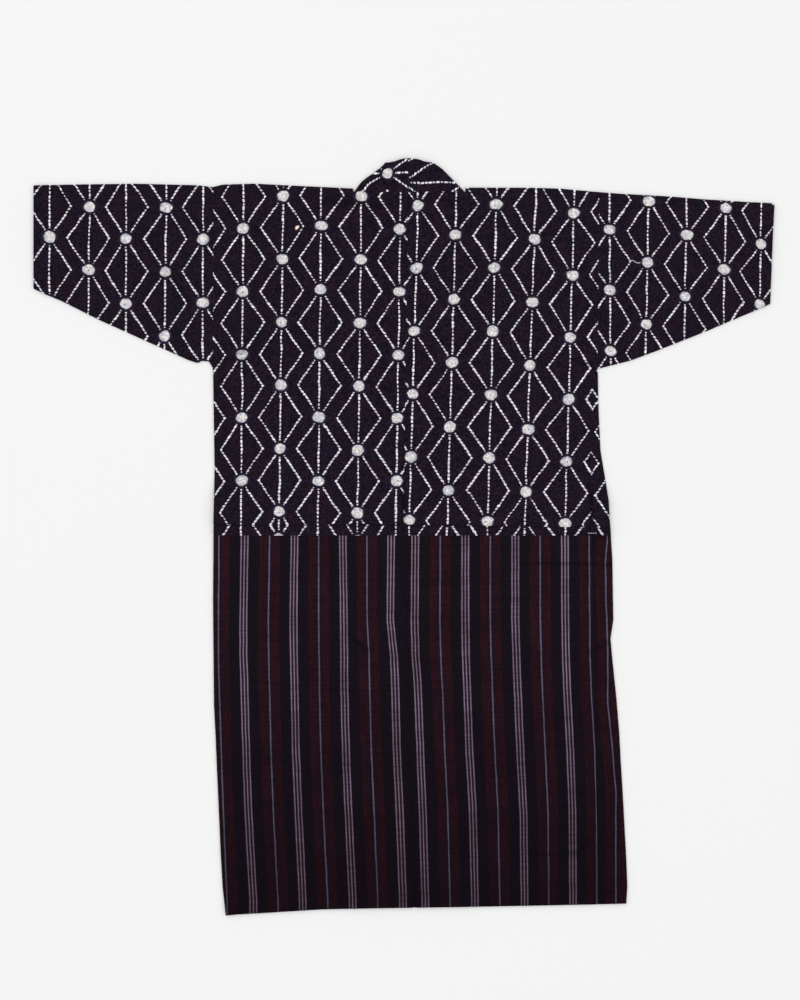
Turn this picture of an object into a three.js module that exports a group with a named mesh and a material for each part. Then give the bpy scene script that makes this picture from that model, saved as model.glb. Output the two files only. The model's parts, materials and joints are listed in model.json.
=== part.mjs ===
import * as THREE from 'three';

// A farmer's work coat, laid flat on its front with its back up.
// Millimetres. x runs to the wearer's right, y from the hem up to the collar, and z up
// from the surface that the coat lies on. The origin is under the middle of the coat.

// Driving dimensions
const CLOTH = 1.0; // wall of the cotton cloth
const AIR = 0.3; // space between pieces at a seam, and between layers pressed together
const BAND = 2.0; // thickness of the collar, doubled round its seam allowances
const BAND_WIDTH = 49; // the collar's finished width
const BAND_CROWN = 4.1; // how much further it stands in the middle of the arch
const NECK_LEFT = -77; // where the collar turns over the left shoulder
const NECK_RIGHT = 94; // and over the right one
const NECK_SEAM = 552.5; // the straight seam behind the neck
const NECK_CORNER = 4.5; // how far outside the collar's turn the shoulder cloth ends
const COLLAR_SLANT = 0.02; // how much the fronts of the collar run together on the way down
const SHOULDER = 558; // the shoulder fold, about which each outline's own top varies
const UNDERARM = 267; // where the armhole ends and the side seam begins
const WAIST = 2.4; // seam between the upper and the lower cloth
const TUCK_EDGE = 18.4; // lower fold of the tuck above the waist
const TUCK_STITCH = 48.8; // upper fold of the tuck, where it is stitched
const TUCK_EASE = 50; // how far above the tuck its thickness runs out
const SEAM_EASE = 45; // how far below the waist the seam's thickness runs out
const LOFT = 0.9; // how much the top layer stands up away from its edges
const LOFT_REACH = 60; // how far in from an edge it has its full height
const RIDGE = 1.5; // how much the fronts of the collar lift the back that lies on them
const RIDGE_REACH = 45; // how far outside them that runs out
const FRONT_HEM = 3; // how much the fronts are shorter than the back
const TURN_STEPS = 4; // straight steps in the half turn of a fold

const level = (layer) => CLOTH / 2 + layer * (CLOTH + AIR); // middle of each pressed layer
const OUTER_LAYER = 5; // at the tuck there are layers 0 to 5, and elsewhere only 0 and 1
const edgeHeight = level(1);
const foldRadius = (level(1) - level(0)) / 2;
const waistSeam = { front: 1.0, back: 2.9 }; // heights of the waist seams

const shibori = new THREE.MeshStandardMaterial({ color: 0x1d1728, roughness: 0.9, metalness: 0 });
const striped = new THREE.MeshStandardMaterial({ color: 0x2e1f2b, roughness: 0.88, metalness: 0 });

// Outlines, as points of the real edges
const shoulderLine = [
  { x: -593, y: 562 }, { x: -540, y: 564 }, { x: -430, y: 565.5 }, { x: -330, y: 563 },
  { x: -306, y: 560 }, { x: -290, y: 564 }, { x: -240, y: 565.5 }, { x: -180, y: 562.5 },
  { x: -118, y: 559.5 }, { x: -80, y: 557.5 }, { x: 98, y: 559 }, { x: 200, y: 559 },
  { x: 250, y: 557.5 }, { x: 300, y: 553 }, { x: 345, y: 549.5 }, { x: 426, y: 545 },
  { x: 480, y: 540.5 }, { x: 538, y: 537 }, { x: 593, y: 533 },
];
const leftSleeveLower = [
  { x: -593, y: 394 }, { x: -550, y: 378.5 }, { x: -486, y: 346.5 }, { x: -415, y: 314.5 },
  { x: -345, y: 283 }, { x: -330, y: 278 }, { x: -324, y: 281.5 }, { x: -312, y: 281 },
  { x: -306, y: 271 },
];
const rightSleeveLower = [
  { x: 314, y: 270 }, { x: 362, y: 282 }, { x: 405, y: 298 }, { x: 486, y: 330 },
  { x: 554, y: 359 }, { x: 587, y: 374 },
];
const leftCuff = [{ y: 394, x: -592.8 }, { y: 562, x: -592.8 }];
const rightCuff = [{ y: 374, x: 586 }, { y: 480, x: 590 }, { y: 533, x: 592.8 }];
const leftArmhole = [{ y: 271, x: -306 }, { y: 560, x: -305 }];
const rightArmhole = [{ y: 270, x: 309.5 }, { y: 550, x: 312.5 }];
const leftSide = [
  { y: -605, x: -284 }, { y: -595, x: -285.5 }, { y: -550, x: -290.5 }, { y: -500, x: -293.5 },
  { y: -422, x: -297 }, { y: -358, x: -300 }, { y: -310, x: -302 }, { y: -262, x: -304.5 },
  { y: -100, x: -306 }, { y: 26, x: -305 }, { y: 110, x: -303.5 }, { y: 271, x: -306 },
];
const rightSide = [
  { y: -587, x: 356 }, { y: -566, x: 357.5 }, { y: -526, x: 356 }, { y: -470, x: 353 },
  { y: -405, x: 349.5 }, { y: -357, x: 346.5 }, { y: -317, x: 344.5 }, { y: -262, x: 340 },
  { y: -198, x: 333.5 }, { y: -165, x: 330.5 }, { y: -134, x: 335 }, { y: -37, x: 333.5 },
  { y: 10, x: 330.5 }, { y: 58, x: 327.5 }, { y: 90, x: 322.5 }, { y: 138, x: 314.5 },
  { y: 200, x: 311.5 }, { y: 272, x: 310 },
];
const rightSideSeam = [
  { y: -590, x: 311.5 }, { y: -300, x: 305 }, { y: -20, x: 300.5 }, { y: 270, x: 301 },
];
const centreSeam = [
  { y: -605, x: 17 }, { y: -300, x: 9 }, { y: 0, x: -1 }, { y: 270, x: 2.5 }, { y: 553, x: 6.5 },
];
const hemLine = [
  { x: -284, y: -605.6 }, { x: -266, y: -604 }, { x: -214, y: -601 }, { x: -134, y: -596 },
  { x: -55, y: -594 }, { x: 120, y: -591.5 }, { x: 226, y: -589.5 }, { x: 300, y: -588 },
  { x: 357, y: -586.5 },
];

// Soft ridges in the back: each runs from one end to the other
const ridges = [
  { x1: 150, y1: -42, x2: 318, y2: -43, width: 22, height: 0.7 },
  { x1: -92, y1: -150, x2: -48, y2: -195, width: 26, height: 1.1 },
  { x1: 200, y1: -507, x2: 290, y2: -494, width: 26, height: 1.1 },
  { x1: 324, y1: -164, x2: 262, y2: -186, width: 28, height: 0.9 },
  { x1: -150, y1: 532, x2: -40, y2: 520, width: 28, height: 1.0 },
  { x1: 214, y1: 300, x2: 296, y2: 276, width: 32, height: 1.2 },
  { x1: -214, y1: 318, x2: -290, y2: 284, width: 32, height: 1.0 },
  { x1: -180, y1: 170, x2: -120, y2: 112, width: 34, height: 0.9 },
  { x1: 120, y1: 126, x2: 236, y2: 148, width: 34, height: 0.8 },
  { x1: -420, y1: 470, x2: -350, y2: 400, width: 34, height: 1.0 },
  { x1: 400, y1: 450, x2: 352, y2: 380, width: 34, height: 1.0 },
];

const mix = (from, to, share) => from + (to - from) * share;
const held = (share) => Math.min(1, Math.max(0, share));
const soft = (share) => held(share) ** 2 * (3 - 2 * held(share));

// Reads one column of a table at a value of another, in straight stretches.
function reading(table, key, value) {
  return (at) => {
    const next = table.slice(1, -1).findIndex((row) => at <= row[key]);
    const high = table.at(next < 0 ? -1 : next + 1);
    const low = table.at(next < 0 ? -2 : next);
    return mix(low[value], high[value], held((at - low[key]) / (high[key] - low[key])));
  };
}

const topAt = reading(shoulderLine, 'x', 'y');
const hemAt = reading(hemLine, 'x', 'y');
const sideAt = { left: reading(leftSide, 'y', 'x'), right: reading(rightSide, 'y', 'x') };
const armholeAt = { left: reading(leftArmhole, 'y', 'x'), right: reading(rightArmhole, 'y', 'x') };
const cuffAt = { left: reading(leftCuff, 'y', 'x'), right: reading(rightCuff, 'y', 'x') };
const sleeveLowAt = {
  left: reading(leftSleeveLower, 'x', 'y'), right: reading(rightSleeveLower, 'x', 'y'),
};
const sideSeamAt = reading(rightSideSeam, 'y', 'x');
const centreAt = reading(centreSeam, 'y', 'x');

// The collar is a flat strip that turns over a slanted line at each shoulder. Its turn is
// wide enough for the strip's own thickness, and the fronts run down from there.
const bandRadius = (BAND + AIR) / 2;
const bandHigh = BAND / 2 + 2 * bandRadius; // height of its middle behind the neck
const bandAngle = Math.PI / 4 + Math.atan(COLLAR_SLANT) / 2;
const neckFoot = { left: NECK_LEFT, right: NECK_RIGHT };
const outward = { left: -1, right: 1 };

// Outer edge of the collar's front, where the front's cloth meets it.
function bandEdge(side, y) {
  const turned = Math.PI * bandRadius;
  const down = NECK_SEAM + turned * Math.cos(bandAngle) - y;
  const offset = turned * Math.sin(bandAngle) - COLLAR_SLANT * down;
  return neckFoot[side] + outward[side] * offset;
}

// Distance to the nearest folded or seamed edge of the coat.
function edgeDistance(x, y) {
  const above = Math.max(0, y - UNDERARM);
  const toLeft = x - sideAt.left(y);
  const toRight = sideAt.right(y) - x;
  const left = toLeft < 0 ? y - sleeveLowAt.left(x) : Math.hypot(toLeft, above);
  const right = toRight < 0 ? y - sleeveLowAt.right(x) : Math.hypot(toRight, above);
  return Math.max(0, Math.min(topAt(x) - y, y - hemAt(x), left, right));
}

function ridgeHeight(x, y) {
  return ridges.reduce((sum, { x1, y1, x2, y2, width, height }) => {
    const [dx, dy] = [x2 - x1, y2 - y1];
    const near = held(((x - x1) * dx + (y - y1) * dy) / (dx * dx + dy * dy));
    const away = Math.hypot(x - x1 - near * dx, y - y1 - near * dy);
    return sum + height * soft(1 - away / width);
  }, 0);
}

// Height of the top layer: low at the edges, lofted inside, lifted over the collar's fronts.
function backHeight(x, y) {
  const inside = soft(edgeDistance(x, y) / LOFT_REACH);
  const outside = Math.max(bandEdge('left', y) - 12 - x, x - bandEdge('right', y) - 12, 0);
  const lifted = Math.max(LOFT * inside, RIDGE * soft(1 - outside / RIDGE_REACH));
  return edgeHeight + lifted + ridgeHeight(x, y) * inside;
}
const upperHeight = (x, y) => (
  mix(level(OUTER_LAYER), backHeight(x, y), soft((y - TUCK_STITCH) / TUCK_EASE)));
const lowerHeight = (x, y) => (
  mix(waistSeam.back, backHeight(x, y), soft((WAIST - y) / SEAM_EASE)));
const frontHeight = (y) => mix(waistSeam.front, level(0), soft((WAIST - y) / SEAM_EASE));

// At each point the direction across the cloth, lengthened at a fold so that the wall
// keeps its thickness on both sides of it.
function acrossCloth(middle, cells) {
  const sums = middle.map(() => new THREE.Vector3());
  const facing = cells.map((cell) => {
    const [a, b, c, d] = cell.map((corner) => middle[corner]);
    const diagonal = new THREE.Vector3().subVectors(c, a);
    return diagonal.cross(new THREE.Vector3().subVectors(d, b)).normalize();
  });
  cells.forEach((cell, k) => cell.forEach((corner) => sums[corner].add(facing[k])));
  sums.forEach((sum) => sum.normalize());
  const least = middle.map(() => 1);
  cells.forEach((cell, k) => cell.forEach((corner) => {
    least[corner] = Math.min(least[corner], sums[corner].dot(facing[k]));
  }));
  return sums.map((sum, k) => sum.divideScalar(Math.max(0.85, least[k])));
}

// A closed wall of cloth round a middle surface, given as rows and columns of points.
// kept says which cells between them are cloth. A tube's last column joins its first.
function clothWall(name, material, { rows, columns, place, thickness = CLOTH, tube = false, kept }) {
  const middle = [];
  for (let row = 0; row < rows; row += 1) {
    for (let column = 0; column < columns; column += 1) {
      middle.push(new THREE.Vector3(...place(row, column)));
    }
  }
  const corner = (row, column) => row * columns + (column % columns);
  const cells = [];
  for (let row = 0; row < rows - 1; row += 1) {
    for (let column = 0; column < columns - (tube ? 0 : 1); column += 1) {
      if (kept && !kept(row, column)) continue;
      const [low, high] = [column, column + 1].map((at) => [corner(row, at), corner(row + 1, at)]);
      cells.push([low[0], low[1], high[1], high[0]]);
    }
  }
  const across = acrossCloth(middle, cells);
  const vertices = [];
  const upper = new Map(); // the lower vertex of each corner follows its upper one
  for (const at of new Set(cells.flat())) {
    upper.set(at, vertices.length / 3);
    for (const half of [thickness / 2, -thickness / 2]) {
      const { x, y, z } = middle[at].clone().addScaledVector(across[at], half);
      vertices.push(x, y, Math.max(0, z)); // it lies on the surface and never reaches into it
    }
  }
  const faces = [];
  const quad = (a, b, c, d) => faces.push(a, b, c, a, c, d);
  const sides = (cell) => cell.map((from, k) => [from, cell[(k + 1) % 4]]);
  const used = new Set(cells.flatMap((cell) => sides(cell).map(([from, to]) => `${from} ${to}`)));
  for (const cell of cells) {
    const [a, b, c, d] = cell.map((at) => upper.get(at));
    quad(a, b, c, d);
    faces.push(a + 1, c + 1, b + 1, a + 1, d + 1, c + 1);
    for (const [from, to] of sides(cell)) {
      if (used.has(`${to} ${from}`)) continue;
      const [start, end] = [upper.get(from), upper.get(to)];
      quad(start, start + 1, end + 1, end);
    }
  }
  const geometry = new THREE.BufferGeometry();
  geometry.setAttribute('position', new THREE.Float32BufferAttribute(vertices, 3));
  geometry.setIndex(faces);
  if (volume(vertices, faces) < 0) geometry.index.array.reverse();
  geometry.computeVertexNormals();
  const mesh = new THREE.Mesh(geometry, material);
  mesh.name = name;
  return mesh;
}

function volume(vertices, faces) {
  const point = (at) => new THREE.Vector3().fromArray(vertices, faces[at] * 3);
  let total = 0;
  for (let at = 0; at < faces.length; at += 3) {
    total += point(at).cross(point(at + 1)).dot(point(at + 2)) / 6;
  }
  return total;
}

// Angles of a half turn from straight up, over the bulge, to straight down
const turnAngles = Array.from({ length: TURN_STEPS + 1 }, (_, k) => Math.PI * (0.5 - k / TURN_STEPS));

// Points of a pressed fold between two levels; bulge is 1 where it points up the coat.
function fold(face, edge, from, to, bulge) {
  return turnAngles.map((angle) => ({
    face,
    y: edge - bulge * foldRadius * (1 - Math.cos(angle)),
    z: mix(from, to, (1 - Math.sin(angle)) / 2),
  }));
}

// The upper cloth runs from the back's waist seam through its tuck, up the back, over the
// shoulder without a seam, down the front and through the tuck there.
const climb = [
  52, 60, 72, 86, 102, 122, 145, 172, 205, 240, 265.5, 268.5, 300, 340, 380, 420, 460, 498, 526, 547,
  SHOULDER,
];
const upperWay = [
  { face: 'back', y: WAIST + AIR / 2, z: waistSeam.back },
  { face: 'back', y: 14, z: level(3) },
  { face: 'back', y: 32, z: level(3) },
  ...fold('back', TUCK_STITCH, level(3), level(4), 1),
  ...fold('back', TUCK_EDGE, level(4), level(5), -1),
  { face: 'back', y: 34, z: level(5) },
  ...climb.map((y) => ({ face: 'back', climb: y })),
  ...turnAngles.slice(1, -1).map((angle) => ({ face: 'shoulder', angle })),
  ...[...climb].reverse().map((y) => ({ face: 'front', climb: y })),
  { face: 'front', y: 34, z: level(0) },
  ...fold('front', TUCK_EDGE, level(0), level(1), -1),
  ...fold('front', TUCK_STITCH, level(1), level(2), 1),
  { face: 'front', y: 32, z: level(2) },
  { face: 'front', y: 14, z: level(2) },
  { face: 'front', y: WAIST + AIR / 2, z: waistSeam.front, back: waistSeam.back },
];

// Where cloth turns round the right edge: the middle of the turn, and its two heights.
function edgeTurn(y, low, high, radius = (high - low) / 2) {
  return { x: sideAt.right(y) - CLOTH / 2 - radius, low, high };
}

// A point of the strip on top or of the turn, by its column.
function wrapPoint(column, y, { x, low, high }, heightAt) {
  const radius = (high - low) / 2;
  const angle = turnAngles[column - STRIP_COLUMNS];
  if (angle !== undefined) {
    return [x + radius * Math.cos(angle), y, low + radius * (1 + Math.sin(angle))];
  }
  const across = mix(sideSeamAt(y) + AIR / 2, x, column / STRIP_COLUMNS);
  return [across, y, heightAt(across, y)];
}
const STRIP_COLUMNS = 2;
const WRAP_COLUMNS = STRIP_COLUMNS + TURN_STEPS;

const panelShares = [0, 0.06, 0.14, 0.26, 0.4, 0.55, 0.7, 0.83, 0.93, 1];
const neckShares = [0.055, 0.3, 0.65, 1];

function upperPiece(side) {
  const wraps = side === 'right' ? WRAP_COLUMNS : 0;
  const corner = wraps + panelShares.length - 1; // the column at the corner of the neck
  const cornerX = neckFoot[side] + outward[side] * NECK_CORNER;
  const lastBack = upperWay.findLastIndex(({ face }) => face === 'back');

  const turnOf = (station, y) => {
    if (!('y' in station)) return edgeTurn(y, level(0), upperHeight(sideAt.right(y), y));
    const high = station.back ?? level(0) + level(OUTER_LAYER) - station.z;
    const outermost = (level(OUTER_LAYER) - level(0)) / 2;
    return edgeTurn(y, station.z, high, y < TUCK_EDGE ? undefined : outermost);
  };
  const outerX = (station, y) => {
    if (y > UNDERARM) return armholeAt[side](y) - outward[side] * AIR / 2;
    if (side === 'left') return sideAt.left(y);
    return station.face === 'back' ? sideSeamAt(y) - AIR / 2 : turnOf(station, y).x;
  };
  const innerX = (station, y) => {
    if (station.face !== 'front' || y > NECK_SEAM - 4) return cornerX;
    return bandEdge(side, y) + outward[side] * AIR;
  };

  const place = (row, column) => {
    const station = upperWay[row];
    const nominal = station.y ?? station.climb ?? SHOULDER;
    if (column < wraps) {
      const heightAt = (x, y) => ('y' in station ? turnOf(station, y).high : upperHeight(x, y));
      return wrapPoint(column, nominal, turnOf(station, nominal), heightAt);
    }
    const inNeck = column > corner;
    const x = inNeck
      ? mix(cornerX, centreAt(nominal) + outward[side] * AIR / 2, neckShares[column - corner - 1])
      : mix(outerX(station, nominal), innerX(station, nominal), panelShares[column - wraps]);
    if ('y' in station) return [x, station.y, station.z];
    const high = backHeight(x, topAt(x));
    const radius = (high - level(0)) / 2;
    const top = topAt(x) - CLOTH / 2 - radius;
    if (station.face === 'shoulder') {
      return [x, top + radius * Math.cos(station.angle), level(0) + radius * (1 + Math.sin(station.angle))];
    }
    const reach = inNeck ? NECK_SEAM - AIR : top;
    const y = nominal + (reach - SHOULDER) * soft((nominal - 400) / (SHOULDER - 400));
    return [x, y, station.face === 'front' ? level(0) : upperHeight(x, y)];
  };

  const kept = (row, column) => {
    const low = (station) => station.face === 'front' && (station.y ?? station.climb) < UNDERARM;
    if (column < wraps) return low(upperWay[row]) && low(upperWay[row + 1]);
    if (column < corner) return true;
    return row < lastBack - (column === corner ? 1 : 0);
  };
  return clothWall(`upper_${side}`, shibori, {
    rows: upperWay.length, columns: corner + 1 + neckShares.length, place, kept,
  });
}

// The lower cloth: a back and a front on each side, from the waist seam to the hem.
const lowerShares = [
  0, 0.02, 0.045, 0.08, 0.13, 0.19, 0.26, 0.33, 0.4, 0.48, 0.56, 0.64, 0.72, 0.8, 0.87, 0.93, 0.97, 1,
];
const lowerY = (share, x, shorter = 0) => mix(WAIST - AIR / 2, hemAt(x) + shorter, share);

function lowerBack(side) {
  const shares = [0, 0.05, 0.12, 0.22, 0.34, 0.46, 0.58, 0.7, 0.8, 0.9, 1];
  return clothWall(`lower_back_${side}`, striped, {
    rows: lowerShares.length,
    columns: shares.length,
    place: (row, column) => {
      const rough = lowerY(lowerShares[row], 0);
      const edge = side === 'left' ? sideAt.left(rough) : sideSeamAt(rough) - AIR / 2;
      const x = mix(edge, centreAt(rough) + outward[side] * AIR / 2, shares[column]);
      const y = lowerY(lowerShares[row], x);
      return [x, y, lowerHeight(x, y)];
    },
  });
}

function lowerFront(side) {
  const shares = [0, 0.1, 0.4, 0.7, 1];
  const wraps = side === 'right' ? WRAP_COLUMNS : 0;
  return clothWall(`lower_front_${side}`, striped, {
    rows: lowerShares.length,
    columns: wraps + shares.length,
    place: (row, column) => {
      const rough = lowerY(lowerShares[row], 0);
      const turned = edgeTurn(rough, frontHeight(rough), lowerHeight(sideAt.right(rough), rough));
      if (column < wraps) {
        const y = lowerY(lowerShares[row], turned.x);
        return wrapPoint(column, y, turned, lowerHeight);
      }
      const inner = bandEdge(side, rough) + outward[side] * AIR;
      const outer = side === 'left' ? sideAt.left(rough) : turned.x;
      const share = shares[column - wraps];
      const x = mix(outer, inner, share);
      const shorter = FRONT_HEM * (side === 'left' ? 1 : soft(share / shares[1]));
      return [x, lowerY(lowerShares[row], x, shorter), frontHeight(rough)];
    },
  });
}

// A sleeve: one cloth folded along its top and seamed below, open at the cuff and armhole.
function sleeve(side) {
  const along = [0, 0.06, 0.16, 0.28, 0.42, 0.56, 0.7, 0.83, 0.93, 1]; // cuff to armhole
  const down = [0.06, 0.14, 0.26, 0.4, 0.56, 0.72, 0.85, 0.94]; // from the top fold
  const round = [
    ...down.map((share) => ({ share, back: true })),
    ...turnAngles.map((angle) => ({ share: 1, angle })),
    ...[...down].reverse().map((share) => ({ share })),
    ...[...turnAngles].reverse().map((angle) => ({ share: 0, angle })),
  ];
  const place = (row, column) => {
    const { share, back, angle } = round[column];
    const span = (y) => mix(cuffAt[side](y), armholeAt[side](y) + outward[side] * AIR / 2, along[row]);
    const inset = CLOTH / 2 + foldRadius;
    const yAt = (x) => mix(topAt(x) - inset, sleeveLowAt[side](x) + inset, share);
    const y = yAt(span(yAt(span(UNDERARM))));
    const x = span(y);
    if (angle === undefined) return [x, y, back ? backHeight(x, y) : level(0)];
    const bulge = share ? -1 : 1;
    return [x, y + bulge * foldRadius * Math.cos(angle), level(0) + foldRadius * (1 + Math.sin(angle))];
  };
  return clothWall(`sleeve_${side}`, shibori, {
    rows: along.length, columns: round.length, place, tube: true,
  });
}

// Half of the collar, from its seam at the centre back, as a flat strip: start is the place on
// the neck seam, measured outwards from the turn over the shoulder, and slant 1 runs across
// the strip along the line of the turn.
function collar(side) {
  const middle = (NECK_LEFT + NECK_RIGHT) / 2;
  const halfSeam = (NECK_RIGHT - NECK_LEFT) / 2;
  const toCentre = Math.abs(centreAt(NECK_SEAM) - neckFoot[side]) - AIR / 2;
  const turned = Math.PI * bandRadius / Math.sin(bandAngle);
  const runEnd = NECK_SEAM - hemAt(middle) - FRONT_HEM - BAND;
  const stations = [
    { start: -toCentre, slant: 0 }, { start: -55, slant: 0.35 }, { start: -28, slant: 0.68 },
    { start: -8, slant: 1 },
    ...turnAngles.map((_, k) => ({ start: turned * k / TURN_STEPS, slant: 1 })),
    { start: 14, slant: 1 }, { start: 36, slant: 0.7 }, { start: 62, slant: 0.35 },
    ...Array.from({ length: 25 }, (_, k) => ({ start: mix(92, runEnd, k / 24), slant: 0 })),
  ];
  const widths = [0, 0.25, 0.5, 0.75, 1];
  const place = (row, column) => {
    const { start, slant } = stations[row];
    const out = outward[side];
    const fromMiddle = (halfSeam + start) / halfSeam;
    const crown = BAND_CROWN * Math.max(0, 1 - (fromMiddle * 1.6) ** 2);
    const width = widths[column] * (BAND_WIDTH + crown);
    const flat = start - slant * width / Math.tan(bandAngle); // out from the shoulder's foot
    const along = -flat * Math.cos(bandAngle) + width * Math.sin(bandAngle);
    const past = flat * Math.sin(bandAngle) + width * Math.cos(bandAngle);
    const angle = Math.min(Math.PI, Math.max(0, past / bandRadius));
    const beyond = past > Math.PI * bandRadius ? Math.PI * bandRadius - past : Math.min(past, 0);
    const offset = bandRadius * Math.sin(angle) + beyond;
    const x = neckFoot[side] - out * (along * Math.cos(bandAngle) - offset * Math.sin(bandAngle));
    const y = NECK_SEAM + along * Math.sin(bandAngle) + offset * Math.cos(bandAngle);
    return [x, y, bandHigh - bandRadius * (1 - Math.cos(angle))];
  };
  return clothWall(`collar_${side}`, shibori, {
    rows: stations.length, columns: widths.length, place, thickness: BAND,
  });
}

const coat = new THREE.Group();
for (const side of ['left', 'right']) {
  coat.add(upperPiece(side), sleeve(side), collar(side), lowerBack(side), lowerFront(side));
}

export default coat;
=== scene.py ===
import json
import math
import random

import bmesh
import bpy
import numpy as np
from mathutils import Matrix, noise

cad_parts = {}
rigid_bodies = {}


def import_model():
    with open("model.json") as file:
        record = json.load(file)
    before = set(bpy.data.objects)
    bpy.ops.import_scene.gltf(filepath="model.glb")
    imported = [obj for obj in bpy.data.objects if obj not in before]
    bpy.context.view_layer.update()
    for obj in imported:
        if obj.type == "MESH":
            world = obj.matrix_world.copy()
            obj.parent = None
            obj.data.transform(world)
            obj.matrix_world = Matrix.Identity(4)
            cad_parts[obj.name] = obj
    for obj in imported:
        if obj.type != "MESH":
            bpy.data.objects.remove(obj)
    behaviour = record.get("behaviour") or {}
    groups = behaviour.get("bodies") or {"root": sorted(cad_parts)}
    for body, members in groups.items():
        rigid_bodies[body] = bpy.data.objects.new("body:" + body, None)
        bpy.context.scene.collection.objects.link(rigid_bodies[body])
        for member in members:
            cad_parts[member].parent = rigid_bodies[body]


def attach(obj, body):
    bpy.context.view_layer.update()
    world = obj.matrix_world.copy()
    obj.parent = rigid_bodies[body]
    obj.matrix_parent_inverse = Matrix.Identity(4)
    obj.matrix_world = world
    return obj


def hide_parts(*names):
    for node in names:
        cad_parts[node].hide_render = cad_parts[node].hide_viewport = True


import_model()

for spare in {"Cube", "Light", "Camera"} & set(bpy.data.objects.keys()):
    bpy.data.objects.remove(bpy.data.objects[spare])
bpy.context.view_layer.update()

MM = 0.001  # sizes are in millimetres, and a piece's points become metres when it is made

# Tied cotton: indigo-black, with a traditional pattern. Columns of tied dots are joined by
# running stitches, which go from each dot straight down and slanting out to both sides, and
# meet again at the next dot. A Figure is a number that the material works out at each point.

REPEAT_X, REPEAT_Y = 63, 100  # millimetres from column to column, and from dot to dot in one
SPREAD = 0.694  # how far the slanting stitches go outwards for each millimetre down
SLANT = math.hypot(1, SPREAD)
STITCH, SLANT_STITCH = 6.25, 6.087  # from the middle of one stitch to the next
BARE_RING = (13.6, 12.4)  # beyond this ring round a dot the stitches begin
DOT_EDGE = (7.7, 9.3)  # and here the dot itself fades
STAIN_X, STAIN_Y = -171, 495


class Figure:
    def __init__(self, tree, socket):
        self.tree, self.socket = tree, socket

    def step(self, operation, *others):
        node = self.tree.nodes.new("ShaderNodeMath")
        node.operation = operation
        for number, value in enumerate((self, *others)):
            if isinstance(value, Figure):
                self.tree.links.new(value.socket, node.inputs[number])
            else:
                node.inputs[number].default_value = value
        return Figure(self.tree, node.outputs[0])

    def __add__(self, other):
        return self.step("ADD", other)

    def __sub__(self, other):
        return self.step("SUBTRACT", other)

    def __mul__(self, other):
        return self.step("MULTIPLY", other)

    def __truediv__(self, other):
        return self.step("DIVIDE", other)

    def __abs__(self):
        return self.step("ABSOLUTE")

    def falls(self, start, end):
        """1 below the start, 0 past the end, and soft between them."""
        node = self.tree.nodes.new("ShaderNodeMapRange")
        node.interpolation_type = "SMOOTHSTEP"
        self.tree.links.new(self.socket, node.inputs["Value"])
        for name, value in (("From Min", start), ("From Max", end), ("To Min", 1), ("To Max", 0)):
            node.inputs[name].default_value = value
        return Figure(self.tree, node.outputs["Result"])


def separated(tree, socket):
    node = tree.nodes.new("ShaderNodeSeparateXYZ")
    tree.links.new(socket, node.inputs[0])
    return [Figure(tree, output) for output in node.outputs]


def joined(tree, *values):
    node = tree.nodes.new("ShaderNodeCombineXYZ")
    for number, value in enumerate(values):
        if isinstance(value, Figure):
            tree.links.new(value.socket, node.inputs[number])
        else:
            node.inputs[number].default_value = value
    return node.outputs[0]


def cloud(tree, place, size, detail=2):
    """Noise about 0.5, with patches of that many millimetres."""
    node = tree.nodes.new("ShaderNodeTexNoise")
    tree.links.new(place, node.inputs["Vector"])
    node.inputs["Scale"].default_value = 1 / size
    node.inputs["Detail"].default_value = detail
    return Figure(tree, node.outputs[0])


def chance(tree, *values):
    """A number between 0 and 1 that stays the same for the same values."""
    node = tree.nodes.new("ShaderNodeTexWhiteNoise")
    tree.links.new(joined(tree, *values), node.inputs["Vector"])
    return Figure(tree, node.outputs["Value"])


def tint(share, below, above):
    """A colour between two, each given as a socket or as red, green and blue out of 255."""
    node = share.tree.nodes.new("ShaderNodeMix")
    node.data_type = "RGBA"
    share.tree.links.new(share.socket, node.inputs[0])
    for slot, colour in ((6, below), (7, above)):
        if isinstance(colour, tuple):
            bare = [((value / 255 + 0.055) / 1.055) ** 2.4 for value in colour]
            node.inputs[slot].default_value = (*bare, 1)
        else:
            share.tree.links.new(colour, node.inputs[slot])
    return node.outputs[2]


def cotton(name):
    """A matt cotton: its material, node tree, map, place in millimetres, and a way to finish it, which
    paints shade into its creases.
    """
    material = bpy.data.materials.new(name)
    material.use_nodes = True
    tree = material.node_tree
    paint = tree.nodes["Principled BSDF"]
    paint.inputs["Roughness"].default_value = 0.9
    paint.inputs["Specular IOR Level"].default_value = 0.04
    chart = tree.nodes.new("ShaderNodeUVMap")
    chart.uv_map = "cloth"
    spot = tree.nodes.new("ShaderNodeVectorMath")
    spot.operation = "SCALE"
    spot.inputs["Scale"].default_value = 1000
    tree.links.new(tree.nodes.new("ShaderNodeTexCoord").outputs["Object"], spot.inputs[0])

    painted_crease_shade = tree.nodes.new("ShaderNodeAttribute")
    painted_crease_shade.attribute_name = "painted_crease_shade"

    def finish(colour, height, strength):
        # painted shade: the colour goes towards near-black where the cloth lies deep in a crease
        crease_shade_share = Figure(tree, painted_crease_shade.outputs["Fac"]).falls(0.9, 0.1) * 0.4
        tree.links.new(tint(crease_shade_share, colour, (6, 5, 8)), paint.inputs["Base Color"])
        bump = tree.nodes.new("ShaderNodeBump")
        bump.inputs["Strength"].default_value = strength
        bump.inputs["Distance"].default_value = MM
        tree.links.new(height.socket, bump.inputs["Height"])
        tree.links.new(bump.outputs[0], paint.inputs["Normal"])
        return material

    return tree, chart.outputs[0], spot.outputs[0], finish


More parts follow.
